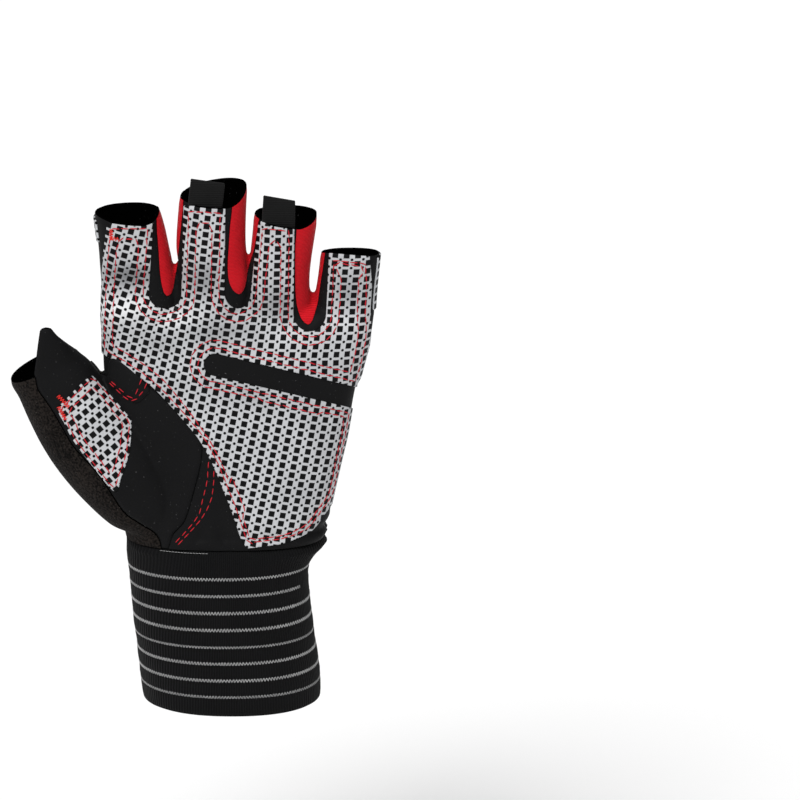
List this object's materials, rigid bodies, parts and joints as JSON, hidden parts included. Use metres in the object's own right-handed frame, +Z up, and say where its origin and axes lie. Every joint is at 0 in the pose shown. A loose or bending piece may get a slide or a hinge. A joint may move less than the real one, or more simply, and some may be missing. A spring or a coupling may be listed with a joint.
{
  "type": "weightlifting glove with wrist wrap",
  "caption": "Fingerless left-hand weightlifting glove with a silver and black grip palm, red panels between short open fingers, an open thumb and a wide striped elastic wrist wrap.",
  "frame": {"origin": "middle of the wrist wrap's lower opening, where the forearm comes in", "axes": "+Z up along the fingers, +X across the palm towards the little finger, +Y from the palm to the back of the hand"},
  "size_m": [0.1419, 0.053, 0.2108],
  "materials": {
    "elastic": "matt black ribbed elastic with light woven stripes",
    "smooth_black": "smooth black faced neoprene with a faint sheen",
    "back_stretch": "plain black stretch knit",
    "terry": "black-brown looped terry",
    "grip": "silver printed grip cloth with raised black squares and dots",
    "webbing": "black woven tape",
    "red_stretch": "bright red ribbed stretch fabric"
  },
  "bodies": {
    "root": {"wrist_wrap": "elastic", "palm_base": "smooth_black", "hand_back": "back_stretch", "thumb_palm": "smooth_black", "thumb_back": "terry", "palm_grip": "grip", "thumb_grip": "grip", "thumb_web_tongue": "smooth_black", "pull_tab_middle": "webbing", "pull_tab_ring": "webbing", "side_grip_index": "grip", "side_grip_little": "grip", "fourchette_index_middle": "red_stretch", "fourchette_middle_ring": "red_stretch", "fourchette_ring_little": "red_stretch"}
  },
  "joints": []
}
